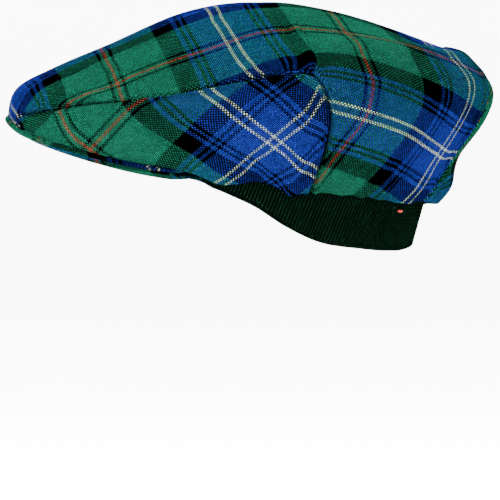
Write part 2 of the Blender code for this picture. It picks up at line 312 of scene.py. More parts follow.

# Threads: relief and how it is felt, the painted shade in the gaps between them and the width of
# that shade, roundness along a thread, which also paints shade toward the ends of each float, how
# much of the thread beneath shows, how much the painted light changes with the thread's direction,
# lighter where the lengthwise thread lies on top, and how much the tone changes at random from
# crossing to crossing, along a yarn, from fibre to fibre and in wide patches
THREAD_RELIEF = 0.0003
RELIEF_STRENGTH = 0.8
CLOTH_ROUGHNESS = 0.90
FIBRE_RELIEF = 0.5
PAINTED_GAP_SHADE = 0.04
GAP_WIDTH = 2.8
THREAD_ROUNDNESS = 0.6
SHOW_THROUGH = 0.2
FACE_PAINTED_LIGHT = 0.3
YARN_CHANGE = 0.6
SLUB_CHANGE = 0.6
YARN_LENGTH = 0.0032
YARN_SHIFT = 0.37
FIBRE_SCALE = 2500.0
FIBRE_DETAIL = 3.0
FIBRE_CHANGE = 0.6
PATCH_SCALE = 60.0
PATCH_DETAIL = 4.0
PATCH_CHANGE = 0.25
THREAD_COLOURS = {
    "red": (0.100, 0.020, 0.010),
    "green": (0.0036, 0.042, 0.0235),
    "black": (0.0002, 0.0002, 0.0004),
    "blue": (0.0050, 0.0092, 0.080),
    "white": (0.155, 0.190, 0.150),
}

# Studio: the floor's height, its steps round, its profile as reach and rise up to the wall, the
# paper, the light of the air, and the lamps with their place, turn in degrees, size and power
FLOOR_RISE = -0.32
FLOOR_STEPS = 96
FLOOR_PROFILE = ((0, 0), (1.0, 0), (2.2, 0), (2.6, 0.05), (2.9, 0.2), (3.1, 0.5), (3.2, 1.0), (3.2, 4.0))
PAPER_COLOUR = (0.97, 0.97, 0.97, 1.0)
AIR_STRENGTH = 2.5
LIGHT_COLUMNS = ("name", "place", "turn", "size", "watts")
LIGHTS = (
    ("overhead", (0.6, -0.4, 2.2), (0.0, 15.0, 0.0), 1.8, 90.0),
    ("front_fill", (2.2, -2.0, 0.8), (0.0, 75.0, -42.0), 1.5, 400.0),
    ("backdrop_light", (-1.4, 0.0, 1.8), (0.0, -50.0, 0.0), 1.5, 1100.0),
)

# Camera: its place on the cap's left, its turn in degrees, and its lens and sensor in millimetres
EYE_PLACE = (1.6, -0.003, -0.0402)
EYE_TURN = (90.0, 0.0, 90.0)
LENS = 192.0
SENSOR_WIDTH = 36.0


def curve_through(places, values, place, flat_start=True, flat_end=True):
    """Cubic through the values of a table, whose slope at each inner place is the mean of the
    slopes on both sides, and zero at an end that is said to be flat."""
    places = np.asarray(places, float)
    values = np.asarray(values, float)
    place = np.asarray(place, float)
    runs = np.diff(places).reshape((-1,) + (1,) * (values.ndim - 1))
    steps = np.diff(values, axis=0) / runs
    slopes = np.empty_like(values)
    slopes[1:-1] = (steps[:-1] * runs[1:] + steps[1:] * runs[:-1]) / (runs[:-1] + runs[1:])
    slopes[0] = 0.0 if flat_start else 1.5 * steps[0] - 0.5 * slopes[1]
    slopes[-1] = 0.0 if flat_end else 1.5 * steps[-1] - 0.5 * slopes[-2]
    i = np.clip(np.searchsorted(places, place, side="right") - 1, 0, len(places) - 2)
    run = places[i + 1] - places[i]
    share = (place - places[i]) / run
    rest = 1 - share
    if values.ndim == 1:
        near, far, leave, arrive = values[i], values[i + 1], slopes[i], slopes[i + 1]
    else:
        n = np.arange(values.shape[1])
        near, far, leave, arrive = values[i, n], values[i + 1, n], slopes[i, n], slopes[i + 1, n]
    return (near * rest * rest * (1 + 2 * share) + far * share * share * (3 - 2 * share)
            + run * share * rest * (leave * rest - arrive * share))


def at_azimuth(azimuth, columns, rows, name):
    """Value of a named column between a table's azimuths, alike on both sides."""
    table = np.array(rows, float)
    return curve_through(table[:, 0], table[:, columns.index(name)], folded(azimuth))


def folded(azimuth):
    """The azimuth from 0 to 180 on either side."""
    return np.abs((np.asarray(azimuth, float) + 180) % 360 - 180)


def oval_reach(azimuth, length, width):
    """Distance from the middle of an oval to its edge."""
    angle = np.radians(azimuth)
    return 1 / np.hypot(2 * np.sin(angle) / width, 2 * np.cos(angle) / length)


def rim_reach(azimuth):
    """Reach of the crown's rim, between the peak's edge and the head."""
    on_head = at_azimuth(azimuth, RIM_COLUMNS, RIM_SECTIONS, "on_head")
    over_head = oval_reach(azimuth, HEAD_LENGTH, HEAD_WIDTH) + KNIT_WALL + SEAM_GAP
    over_head = over_head + RIM_LEAN * CLOTH_WALL
    return (1 - on_head) * oval_reach(azimuth, CAP_LENGTH, CAP_WIDTH) + on_head * over_head


def rim_rise(azimuth):
    """Height of the crown's rim."""
    return CREST_RISE * at_azimuth(azimuth, RIM_COLUMNS, RIM_SECTIONS, "rim_rise")


def turned(reach, rise, azimuth):
    """Point at a reach and a rise, turned from the nose round the cap's left."""
    angle = np.radians(azimuth)
    return np.stack([reach * np.sin(angle), -reach * np.cos(angle), rise + 0 * angle], axis=-1)


def crown_point(azimuth, level):
    """Outside of the crown: a curve over the level through the reach and the rise of each ring
    at that azimuth, plus a soft bump for each fold of the cloth."""
    azimuth, level = np.broadcast_arrays(np.asarray(azimuth, float), np.asarray(level, float))
    shape = azimuth.shape
    azimuth = azimuth.ravel()
    level = level.ravel()
    plan = oval_reach(azimuth, CAP_LENGTH, CAP_WIDTH)
    reaches = [np.zeros_like(plan)]
    rises = [np.full_like(plan, CREST_RISE)]
    for ring in ("crown", "top", "shoulder", "belly"):
        reaches.append(plan * at_azimuth(azimuth, CROWN_COLUMNS, CROWN_SECTIONS, ring + "_reach"))
        rises.append(CREST_RISE * at_azimuth(azimuth, CROWN_COLUMNS, CROWN_SECTIONS, ring + "_rise"))
    reaches.append(rim_reach(azimuth))
    rises.append(rim_rise(azimuth))
    reach = curve_through(LEVELS, np.array(reaches), level, False, False)
    rise = curve_through(LEVELS, np.array(rises), level, True, False)
    for side, centre, height, wide, tall, out, up in FOLDS:
        for turn in (1, -1) if side == "both" else (1,):
            across = (azimuth - turn * centre + 180) % 360 - 180
            bump = FOLD_DEPTH * np.exp(-(across / wide) ** 2 - ((level - height) / tall) ** 2)
            reach = reach + out * bump
            rise = rise + up * bump
    return turned(reach, rise, azimuth).reshape(shape + (3,))


def seam_level(azimuth):
    """Level of the seam over the side panels, carried on level behind and before them."""
    side = np.clip(folded(azimuth), PANEL_FRONT, PANEL_REAR)
    return at_azimuth(side, SEAM_COLUMNS, SEAM_SECTIONS, "level")


def leaned(azimuth, level):
    """Azimuths of a grid that leans forward beside the rear seam of a side panel, most at the
    seam's top and less toward the rim and the crest."""
    azimuth, level = np.broadcast_arrays(np.asarray(azimuth, float), np.asarray(level, float))
    top = float(seam_level(PANEL_REAR))
    height = np.clip(np.minimum((1 - level) / (1 - top), level / top), 0, 1)
    near = np.exp(-((folded(azimuth) - PANEL_REAR) / SEAM_LEAN_REACH) ** 2)
    side = np.where((azimuth + 180) % 360 < 180, -1, 1)
    return azimuth - side * SEAM_LEAN * near * height


def unleaned(azimuth, level):
    """Azimuth in the grid of a place on the crown, the inverse of leaned."""
    place = azimuth
    for attempt in range(UNLEAN_ROUNDS):
        place = place + azimuth - float(leaned(place, level))
    return place


def spread(first, last, count):
    """Evenly spaced values from first to last."""
    return np.linspace(first, last, count + 1)


def laid_flat(points, faces, start, marks):
    """Flat places of a curved cloth's points. Each triangle is laid flat on its own, then turned
    as a stiff piece to agree with its neighbours, and the points are fitted to all of them by
    least squares. This is repeated from a rough start. Each mark holds a place between some
    points at a wanted distance along or across the cloth."""
    corner = points[faces]
    side_a = corner[:, 1] - corner[:, 0]
    side_b = corner[:, 2] - corner[:, 0]
    along = np.linalg.norm(side_a, axis=1)
    height = np.linalg.norm(np.cross(side_a, side_b), axis=1) / along
    offset = (side_a * side_b).sum(1) / along
    zero = np.zeros_like(along)
    own = np.stack([np.stack([zero, zero], 1), np.stack([along, zero], 1),
                    np.stack([offset, -height], 1)], axis=1)
    count = len(points)
    pull = np.zeros((count, count))
    edges = []
    for k in range(3):
        i, j, o = faces[:, k], faces[:, (k + 1) % 3], faces[:, (k + 2) % 3]
        a = points[i] - points[o]
        b = points[j] - points[o]
        weight = 0.5 * (a * b).sum(1) / np.linalg.norm(np.cross(a, b), axis=1)
        weight = np.clip(weight, LEAST_WEIGHT, GREATEST_WEIGHT)
        np.add.at(pull, (i, i), weight)
        np.add.at(pull, (j, j), weight)
        np.add.at(pull, (i, j), -weight)
        np.add.at(pull, (j, i), -weight)
        edges.append((i, j, weight, own[:, k] - own[:, (k + 1) % 3]))
    held = np.stack([pull, pull])
    hold = np.zeros((count, 2))
    for numbers, shares, axis, value in marks:
        held[axis][np.ix_(numbers, numbers)] += MARK_HOLD * np.outer(shares, shares)
        hold[numbers, axis] += MARK_HOLD * shares * value
    solve = np.linalg.inv(held)
    flat = start.copy()
    for attempt in range(FLAT_ROUNDS):
        turn_sin = 0
        turn_cos = 0
        for i, j, weight, arm in edges:
            now = flat[i] - flat[j]
            turn_cos = turn_cos + weight * (now * arm).sum(1)
            turn_sin = turn_sin + weight * (now[:, 1] * arm[:, 0] - now[:, 0] * arm[:, 1])
        size = np.hypot(turn_cos, turn_sin)
        cosine, sine = turn_cos / size, turn_sin / size
        wanted = hold.copy()
        for i, j, weight, arm in edges:
            turned_arm = np.stack([cosine * arm[:, 0] - sine * arm[:, 1],
                                   sine * arm[:, 0] + cosine * arm[:, 1]], axis=1)
            turned_arm *= weight[:, None]
            np.add.at(wanted, i, turned_arm)
            np.add.at(wanted, j, -turned_arm)
        flat = np.stack([solve[0] @ wanted[:, 0], solve[1] @ wanted[:, 1]], axis=-1)
    return flat


def resampled(values, old_rows, new_rows):
    """Values of a grid between its rows, along the first axis."""
    flat = values.reshape(len(old_rows), -1)
    out = [curve_through(old_rows, flat, np.full(flat.shape[1], row), False, False) for row in new_rows]
    return np.array(out).reshape((len(new_rows),) + values.shape[1:])


def corners(grid):
    """Values of a grid at the four corners of each of its cells, in the order that faces out."""
    return np.stack([grid[:-1, :-1], grid[1:, :-1], grid[1:, 1:], grid[:-1, 1:]], axis=2)


def mesh_piece(name, points, quads, corner_places, material):
    """Mesh object from points, quads and the UV place of each quad's corner. A corner at the
    same point as the one before it is left out, so such a quad becomes a triangle, and a quad
    with fewer than three points is dropped."""
    distinct = quads != np.roll(quads, 1, axis=1)
    sides = distinct.sum(axis=1)
    distinct = distinct & (sides > 2)[:, None]
    sides = sides[sides > 2]
    ring = quads[distinct]
    mesh = bpy.data.meshes.new(name)
    mesh.vertices.add(len(points))
    mesh.vertices.foreach_set("co", points.ravel())
    mesh.loops.add(len(ring))
    mesh.loops.foreach_set("vertex_index", ring)
    mesh.polygons.add(len(sides))
    mesh.polygons.foreach_set("loop_start", np.cumsum(sides) - sides)
    mesh.polygons.foreach_set("use_smooth", np.ones(len(sides), bool))
    mesh.update(calc_edges=True)
    layer = mesh.uv_layers.new(name="cloth")
    layer.data.foreach_set("uv", corner_places[distinct].ravel())
    mesh.materials.append(material)
    piece = bpy.data.objects.new(name, mesh)
    bpy.context.scene.collection.objects.link(piece)
    return piece


def grid_numbers(shape):
    """Numbers of a grid's points, row by row."""
    return np.arange(shape[0] * shape[1]).reshape(shape[:2])


def joined_piece(name, points, quads, places, material):
    """Mesh object from quads of which some share points, without the points that none uses."""
    used, index = np.unique(quads, return_inverse=True)
    return mesh_piece(name, points.reshape(-1, 3)[used], index.reshape(-1, 4), places, material)


def crown_normal(azimuth, level):
    """Outward direction of the crown, from small steps down and around it."""
    step = FACING_LEVEL_STEP
    down = crown_point(azimuth, level + step) - crown_point(azimuth, np.maximum(level - step, 0.0))
    off_crest = np.maximum(level, step)
    around = (crown_point(azimuth + FACING_TURN_STEP, off_crest)
              - crown_point(azimuth - FACING_TURN_STEP, off_crest))
    normal = np.cross(down, around)
    return normal / np.linalg.norm(normal, axis=-1, keepdims=True)


def seam_lines():
    """Points along every seam of the crown, about 1 mm apart or less."""
    lines = []
    for side in (1, -1):
        along = spread(PANEL_FRONT, PANEL_REAR, OVER_SEAM_POINTS)
        level = seam_level(along)
        lines.append(crown_point(side * leaned(along, level), level))
        for azimuth in (PANEL_FRONT, PANEL_REAR):
            level = spread(seam_level(azimuth), 1.0, UPRIGHT_SEAM_POINTS)
            lines.append(crown_point(side * leaned(azimuth, level), level))
    start = float(seam_level(BACK_SEAM)) * BACK_SEAM_ROW / DISC_ROWS
    lines.append(crown_point(BACK_SEAM, spread(start, 1.0, BACK_SEAM_POINTS)))
    return np.concatenate(lines)


def seam_relief(points, lines):
    """Groove along the seams with slightly puffed cloth on both sides, from the distance to the
    nearest seam."""
    nearest = np.empty(len(points))
    batch = 4000
    for first in range(0, len(points), batch):
        part = points[first:first + batch]
        gap = (part ** 2).sum(1)[:, None] + (lines ** 2).sum(1)[None, :] - 2 * part @ lines.T
        nearest[first:first + batch] = np.sqrt(np.maximum(gap.min(1), 0))
    groove = GROOVE_DEPTH * np.exp(-(nearest / GROOVE_REACH) ** 2)
    puff = PUFF_HEIGHT * np.exp(-((nearest - PUFF_PLACE) / PUFF_REACH) ** 2)
    return puff - groove


def gathers(azimuth, level):
    """Small upright folds where the cloth is gathered on the band, at uneven distances, which
    fade away up the cloth and toward the peak."""
    turn = folded(azimuth)
    wander = GATHER_WANDER * np.sin(np.radians(GATHER_WANDERS * azimuth))
    wave = np.sin(2 * np.pi * azimuth / GATHER_TURN + wander)
    change = np.sin(np.radians(GATHER_CHANGES * azimuth) + 1.0)
    size = 1 - GATHER_UNEVEN + GATHER_UNEVEN * change
    set_in = 1 / (1 + np.exp(-(turn - GATHER_START) / GATHER_ONSET))
    return GATHER_DEPTH * wave * size * set_in * np.exp(-((1 - level) / GATHER_REACH) ** 2)


def cloth_points(azimuth, level, lines):
    """Crown's surface with its seams pressed in and its gathers."""
    points = crown_point(azimuth, level)
    raised = seam_relief(points.reshape(-1, 3), lines).reshape(azimuth.shape)
    raised = raised + gathers(azimuth, level)
    return points + crown_normal(azimuth, level) * raised[..., None]


def hem_rows(points, normals, downs):
    """Hem below the rim: half a circle turned under and in, then a straight strip up inside."""
    rows = []
    for turn in spread(0, np.pi, HEM_TURNS)[1:]:
        inward = HEM_RADIUS * (1 - np.cos(turn))
        rows.append(points - normals * inward + downs * HEM_RADIUS * np.sin(turn))
    for share in HEM_SHARES:
        rows.append(points - normals * 2 * HEM_RADIUS - downs * HEM_LENGTH * share)
    return rows


def with_hem(points, places, azimuth):
    """Grid of cloth with the hem's rows added below its last row, and its flat places carried
    straight on."""
    normals = crown_normal(azimuth, np.ones_like(azimuth))
    downs = points[-1] - points[-2]
    downs = downs / np.linalg.norm(downs, axis=-1, keepdims=True)
    step = places[-1] - places[-2]
    step = step / np.linalg.norm(points[-1] - points[-2], axis=-1, keepdims=True)
    extra = hem_rows(points[-1], normals, downs)
    rows = [points[-1]] + extra
    lengths = np.cumsum([np.linalg.norm(b - a, axis=-1) for a, b in zip(rows, rows[1:])], axis=0)
    flat = [places[-1] + step * length[:, None] for length in lengths]
    return np.concatenate([points, extra]), np.concatenate([places, flat])


def flat_places(points, numbers, cells, start, spots):
    """Flat places on a grid: laid flat on every few rows and columns, with no point left out of
    the coarse grid's own cells. Each spot names a row and a column of the grid, an axis and the
    place that it is held at."""
    rows = slice(None, None, FLAT_ROW_STEP)
    columns = slice(None, None, FLAT_COLUMN_STEP)
    coarse = numbers[rows, columns]
    quads = corners(coarse)[cells]
    used, index = np.unique(quads, return_inverse=True)
    index = index.reshape(-1, 4)
    spot = points.reshape(-1, 3)[used]
    first = start.reshape(-1, 2)[used]
    triangles = np.concatenate([index[:, [0, 1, 2]], index[:, [0, 2, 3]],
                                index[:, [1, 2, 3]], index[:, [0, 1, 3]]])
    distinct = ((triangles[:, 0] != triangles[:, 1]) & (triangles[:, 1] != triangles[:, 2])
                & (triangles[:, 0] != triangles[:, 2]))
    order = np.zeros(numbers.size, int)
    order[used] = np.arange(len(used))
    marks = []
    for row, column, axis, value in spots:
        near_row = min(int(row / FLAT_ROW_STEP), coarse.shape[0] - 2)
        near_column = min(int(column / FLAT_COLUMN_STEP), coarse.shape[1] - 2)
        down = row / FLAT_ROW_STEP - near_row
        along = column / FLAT_COLUMN_STEP - near_column
        corner = coarse[near_row:near_row + 2, near_column:near_column + 2].ravel()
        shares = np.outer([1 - down, down], [1 - along, along]).ravel()
        marks.append((order[corner[shares > 0]], shares[shares > 0], axis, value))
    whole = np.full((numbers.size, 2), np.nan)
    whole[used] = laid_flat(spot, triangles[distinct], first, marks)
    return whole[coarse]


def refined(values, row_count, column_count):
    """Grid of flat places filled in between its coarse rows and columns."""
    rows = np.arange(values.shape[0]) * FLAT_ROW_STEP
    columns = np.arange(values.shape[1]) * FLAT_COLUMN_STEP
    values = resampled(values, rows, np.arange(row_count + 1))
    values = resampled(values.swapaxes(0, 1), columns, np.arange(column_count + 1))
    return values.swapaxes(0, 1)


def stripe_spots(azimuth):
    """Rows and columns of the top panel's grid where the marks of its stripes lie, on the left
    and mirrored on the right."""
    spots = []
    for axis, marks in ((0, CROSSWISE_MARKS), (1, LENGTHWISE_MARKS)):
        for turn, level, stripe in marks:
            turn = unleaned(turn, level)
            seam = float(seam_level(turn))
            row = level / seam * DISC_ROWS
            if level > seam:
                row = DISC_ROWS + (level - seam) / (1 - seam) * SKIRT_ROWS
            for side in (1, -1):
                place = stripe if side > 0 or axis == 0 else 2 * CENTRE_STRIPE - stripe
                column = np.interp(min(side * turn, BACK_SEAM), azimuth, np.arange(len(azimuth)))
                spots.append((row, float(column), axis, place * HALF_REPEAT))
    for turn, level, crosswise, lengthwise in FAR_MARKS:
        seam = float(seam_level(turn))
        row = DISC_ROWS + (level - seam) / (1 - seam) * SKIRT_ROWS
        column = float(np.interp(turn, azimuth, np.arange(len(azimuth))))
        spots.append((row, column, 0, crosswise * HALF_REPEAT))
        spots.append((row, column, 1, lengthwise * HALF_REPEAT))
    return spots


def side_spots(azimuth):
    """Rows and columns of a side panel's grid where the marks of its stripes lie."""
    spots = []
    for axis, marks in ((0, RISING_MARKS), (1, FALLING_MARKS)):
        for turn, level, stripe in marks:
            turn = unleaned(turn, level)
            seam = float(seam_level(turn))
            row = max(level - seam, 0.0) / (1 - seam) * SIDE_ROWS
            column = float(np.interp(turn, azimuth, np.arange(len(azimuth))))
            spots.append((row, column, axis, stripe * HALF_REPEAT))
    return spots


def top_cloth(lines, material):
    """Cloth of the top panel: a disc of rows down to the side seams, with a skirt behind and a
    short strip at the nose. The back seam cuts it open before it is laid flat."""
    azimuth = np.concatenate([
        spread(BACK_SEAM - 360, -PANEL_REAR, BACK_RIGHT_STEPS),
        spread(-PANEL_REAR, -PANEL_FRONT, SIDE_STEPS)[1:],
        spread(-PANEL_FRONT, PANEL_FRONT, NOSE_STEPS)[1:],
        spread(PANEL_FRONT, PANEL_REAR, SIDE_STEPS)[1:],
        spread(PANEL_REAR, BACK_SEAM, BACK_LEFT_STEPS)[1:]])
    seam = seam_level(azimuth)
    disc = np.arange(DISC_ROWS + 1)[:, None] / DISC_ROWS * seam
    skirt = seam + np.arange(1, SKIRT_ROWS + 1)[:, None] / SKIRT_ROWS * (1 - seam)
    level = np.concatenate([disc, skirt])
    spot = leaned(azimuth, level)
    cut = grid_numbers(level.shape)
    cut[0] = 0
    cut[:BACK_SEAM_ROW + 1, -1] = cut[:BACK_SEAM_ROW + 1, 0]
    bare = crown_point(spot, level)
    runs = np.linalg.norm(np.diff(bare, axis=0), axis=-1)
    arc = np.concatenate([np.zeros((1, len(azimuth))), np.cumsum(runs, axis=0)])
    start = np.stack([-arc * np.cos(np.radians(spot)), arc * np.sin(np.radians(spot))], axis=-1)
    start = start + np.array([CREST_STRIPE, CENTRE_STRIPE]) * HALF_REPEAT
    middle = 0.5 * (azimuth[1:] + azimuth[:-1])
    low = (folded(middle) > PANEL_REAR) | (folded(middle) < PANEL_FRONT)
    keep = np.ones((level.shape[0] - 1, len(azimuth) - 1), bool)
    keep[DISC_ROWS:] = low
    cells = keep[::FLAT_ROW_STEP, ::FLAT_COLUMN_STEP]
    coarse = flat_places(bare, cut, cells, start, stripe_spots(azimuth))
    places = np.full(level.shape + (2,), np.nan)
    nose_first = BACK_RIGHT_STEPS + SIDE_STEPS
    back_left_first = nose_first + NOSE_STEPS + SIDE_STEPS
    blocks = ((0, BACK_RIGHT_STEPS), (nose_first, NOSE_STEPS), (back_left_first, BACK_LEFT_STEPS))
    disc_coarse = DISC_ROWS // FLAT_ROW_STEP
    for first, count in blocks:
        start_column = first // FLAT_COLUMN_STEP
        end_column = start_column + count // FLAT_COLUMN_STEP
        block = coarse[disc_coarse:, start_column:end_column + 1]
        places[DISC_ROWS:, first:first + count + 1] = refined(block, SKIRT_ROWS, count)
    places[:DISC_ROWS + 1] = refined(coarse[:disc_coarse + 1], DISC_ROWS, len(azimuth) - 1)
    points = cloth_points(spot, level, lines)
    points, places = with_hem(points, places, azimuth)
    extra = points.shape[0] - level.shape[0]
    keep = np.concatenate([keep, np.broadcast_to(low, (extra, len(low)))])
    numbers = grid_numbers(points.shape)
    numbers[0] = 0
    numbers[:, -1] = numbers[:, 0]
    return cloth_piece("top_cloth", points, numbers, keep, places, material)


def side_cloth(name, side, lines, material):
    """Cloth of one side panel, between the nose, the rear seam and the rim. Its grain lies on
    the bias, and the right one is cut as the left one's mirror image."""
    azimuth = spread(PANEL_FRONT, PANEL_REAR, SIDE_STEPS)
    seam = seam_level(azimuth)
    level = seam + np.arange(SIDE_ROWS + 1)[:, None] / SIDE_ROWS * (1 - seam)
    spot = leaned(azimuth, level)
    bare = crown_point(spot, level)
    along = np.radians(spot) * SIDE_ROUGH_RADIUS
    down = (level - SIDE_MIDDLE_LEVEL) * SIDE_ROUGH_HEIGHT
    grain = math.radians(SIDE_GRAIN)
    start = np.stack([along * math.cos(grain) + down * math.sin(grain),
                      down * math.cos(grain) - along * math.sin(grain)], axis=-1)
    keep = np.ones((SIDE_ROWS, SIDE_STEPS), bool)
    cells = keep[::FLAT_ROW_STEP, ::FLAT_COLUMN_STEP]
    coarse = flat_places(bare, grid_numbers(level.shape), cells, start, side_spots(azimuth))
    places = refined(coarse, SIDE_ROWS, SIDE_STEPS)
    points = cloth_points(side * spot, level, lines)
    points, places = with_hem(points, places, side * azimuth)
    if side < 0:
        points = points[:, ::-1]
        places = places[:, ::-1]
    keep = np.ones((points.shape[0] - 1, SIDE_STEPS), bool)
    return cloth_piece(name, points, grid_numbers(points.shape), keep, places, material)


def cloth_piece(name, points, numbers, keep, places, material):
    """Cloth panel with its own thickness inward."""
    piece = joined_piece(name, points, corners(numbers)[keep], corners(places)[keep], material)
    wall = piece.modifiers.new("thickness", "SOLIDIFY")
    wall.thickness = CLOTH_THICKNESS
    wall.offset = -1
    return piece


def peak_cover(material):
    """Covered peak: its profile runs out along the top, round the lip and back underneath. It is
    carried round the front of the head opening, and thins to nothing at both tips."""
    azimuth = spread(-PEAK_HALF_SPAN, PEAK_HALF_SPAN, PEAK_STEPS)
    root = oval_reach(azimuth, HEAD_LENGTH, HEAD_WIDTH) + SEAM_GAP
    lip = rim_reach(azimuth) + PEAK_LIP
    edge = crown_point(azimuth, np.ones_like(azimuth))[:, 2] - SEAM_GAP
    root_rise = CREST_RISE * at_azimuth(azimuth, RIM_COLUMNS, RIM_SECTIONS, "root_rise")
    root_rise = np.minimum(root_rise, edge)
    tip = np.abs(azimuth) / PEAK_HALF_SPAN
    thinner = (PEAK_TIP_THICKNESS - PEAK_THICKNESS) * np.minimum(PEAK_THIN_RATE * tip, 1)
    half = (PEAK_THICKNESS + thinner) * np.sqrt(np.clip(1 - tip ** PEAK_BLUNTNESS, 0, 1)) / 2
    face = spread(0, 1, PEAK_FACE_STEPS)[:, None]
    turn = spread(0, np.pi, PEAK_EDGE_STEPS)[1:, None]
    face_reach = root + half + (lip - root - 2 * half) * face
    face_rise = root_rise + (edge - root_rise) * face
    reaches = np.concatenate([face_reach, lip - half + half * np.sin(turn), face_reach[::-1][1:],
                              root + half - half * np.sin(turn)])
    rises = np.concatenate([face_rise, edge - half + half * np.cos(turn),
                            (face_rise - 2 * half)[::-1][1:], root_rise - half - half * np.cos(turn)])
    points = turned(reaches, rises, np.broadcast_to(azimuth, reaches.shape))
    numbers = grid_numbers(points.shape)
    numbers[-1] = numbers[0]
    top_rows = PEAK_FACE_STEPS + 1
    under = top_rows + PEAK_EDGE_STEPS
    for row in range(under - 1, under + PEAK_FACE_STEPS):
        for column in (0, PEAK_STEPS):
            numbers[row, column] = numbers[under + PEAK_FACE_STEPS - 1 - row, column]
    flat_reach = reaches.copy()
    flat_reach[top_rows:under] = lip - half + half * turn
    flat = turned(flat_reach, rises, np.broadcast_to(azimuth, reaches.shape))
    grain = math.radians(PEAK_GRAIN)
    places = np.stack([flat[..., 1] * math.cos(grain) + flat[..., 0] * math.sin(grain),
                       flat[..., 0] * math.cos(grain) - flat[..., 1] * math.sin(grain)], axis=-1)
    places = places + np.array([PEAK_CROSSWISE, PEAK_LENGTHWISE]) * HALF_REPEAT
    quads = corners(numbers)[:, :, [3, 2, 1, 0]].reshape(-1, 4)
    spots = corners(places)[:, :, [3, 2, 1, 0]].reshape(-1, 4, 2)
    return joined_piece("peak_cover", points, quads, spots, material)


def ribbed_band(material):
    """Ear band: its profile runs down outside, round the lower fold and up inside, and ribs
    stand out from it as rounded ridges that lean with the height."""
    azimuth = spread(BAND_START, 360 - BAND_START, BAND_STEPS)
    top = rim_rise(azimuth) + BAND_TUCK
    bottom = -BAND_HANG * at_azimuth(azimuth, BAND_COLUMNS, BAND_SECTIONS, "fall")
    taper = BAND_TAPER * at_azimuth(azimuth, BAND_COLUMNS, BAND_SECTIONS, "taper")
    base = oval_reach(azimuth, HEAD_LENGTH, HEAD_WIDTH)
    plan = turned(base, 0 * base, azimuth)
    along = np.concatenate([[0], np.cumsum(np.linalg.norm(np.diff(plan, axis=0), axis=1))])
    half = KNIT_WALL / 2
    face = spread(0, 1, BAND_FACE_STEPS)[:, None]
    turn = spread(0, np.pi, BAND_EDGE_STEPS)[1:-1, None]
    inner = base - taper * face
    fall = top + (bottom + half - top) * face
    reaches = np.concatenate([inner + KNIT_WALL, base + half + half * np.cos(turn) - taper, inner[::-1]])
    rises = np.concatenate([fall, bottom + half - half * np.sin(turn), fall[::-1]])
    sides = np.concatenate([np.ones_like(face), np.cos(turn), -np.ones_like(face)])
    phase = (along + RIB_LEAN * rises) / RIB_PITCH
    reaches = reaches + RIB_HEIGHT * (np.abs(np.cos(np.pi * phase)) - RIB_MEAN) * sides
    points = turned(reaches, rises, np.broadcast_to(azimuth, reaches.shape))
    places = np.stack([np.broadcast_to(along, reaches.shape), rises], axis=-1)
    numbers = grid_numbers(points.shape)
    numbers = np.concatenate([numbers, numbers[:1]])
    places = np.concatenate([places, places[:1]])
    quads = corners(numbers).reshape(-1, 4)
    spots = corners(places).reshape(-1, 4, 2)
    return mesh_piece("ribbed_band", points.reshape(-1, 3), quads, spots, material)


def plain_piece(name, points, numbers, material):
    """Mesh object from a grid of points, with no places on a cloth."""
    quads = corners(numbers).reshape(-1, 4)
    return joined_piece(name, points, quads, np.zeros(quads.shape + (2,)), material)


def red_tack(material):
    """Short red stitch across the band behind, a bent rod with rounded ends."""
    along = spread(-1, 1, TACK_STEPS)[:, None]
    turn = spread(0, 2 * np.pi, TACK_SIDES)[None, :-1]
    girth = TACK_RADIUS * np.sqrt(np.clip(1 - along ** TACK_BLUNTNESS, 0, 1))
    azimuth = TACK_AZIMUTH + along * TACK_TURN + 0 * turn
    base = oval_reach(azimuth, HEAD_LENGTH, HEAD_WIDTH) + KNIT_WALL
    reach = base + TACK_RADIUS * (TACK_BEND - along ** 2) + girth * np.cos(turn)
    rise = TACK_RISE + girth * np.sin(turn)
    points = turned(reach, rise, azimuth)
    numbers = grid_numbers(points.shape)
    numbers[0] = numbers[0, 0]
    numbers[-1] = numbers[-1, 0]
    numbers = np.concatenate([numbers, numbers[:, :1]], axis=1)
    return plain_piece("red_tack", points, numbers, material)


def matt_material(name, roughness):
    """Material that doesn't shine, with its node tree and its shader."""
    material = bpy.data.materials.new(name)
    material.use_nodes = True
    shader = material.node_tree.nodes["Principled BSDF"]
    shader.inputs["Roughness"].default_value = roughness
    shader.inputs["Specular IOR Level"].default_value = 0.0
    return material, material.node_tree, shader


def node(tree, kind, **settings):
    """New shader node with its settings."""
    made = tree.nodes.new("ShaderNode" + kind)
    for name, value in settings.items():
        setattr(made, name, value)
    return made


def maths(tree, operation, first, second=None, third=None):
    """Math node that works on sockets or on plain numbers."""
    made = node(tree, "Math", operation=operation)
    for k, value in enumerate((first, second, third)):
        if value is None:
            continue
        if isinstance(value, (int, float)):
            made.inputs[k].default_value = value
        else:
            tree.links.new(value, made.inputs[k])
    return made.outputs[0]


def mixed(tree, factor, first, second, blend="MIX"):
    """Mix of two colours, each a socket or a plain colour."""
    made = node(tree, "Mix", data_type="RGBA", blend_type=blend)
    for name, value in (("Factor", factor), ("A", first), ("B", second)):
        if isinstance(value, (float, tuple)):
            made.inputs[name].default_value = value
        else:
            tree.links.new(value, made.inputs[name])
    return made.outputs["Result"]


def smooth_noise(tree, place, scale, detail):
    """Smooth noise over the places of a cloth."""
    made = node(tree, "TexNoise", noise_dimensions="2D")
    made.inputs["Scale"].default_value = scale
    made.inputs["Detail"].default_value = detail
    tree.links.new(place, made.inputs["Vector"])
    return made.outputs[0]


def chance(tree, first, second):
    """Value between 0 and 1 that differs from one pair of whole numbers to the next."""
    pair = node(tree, "CombineXYZ")
    tree.links.new(first, pair.inputs[0])
    tree.links.new(second, pair.inputs[1])
    made = node(tree, "TexWhiteNoise", noise_dimensions="2D")
    tree.links.new(pair.outputs[0], made.inputs["Vector"])
    return made.outputs["Value"]


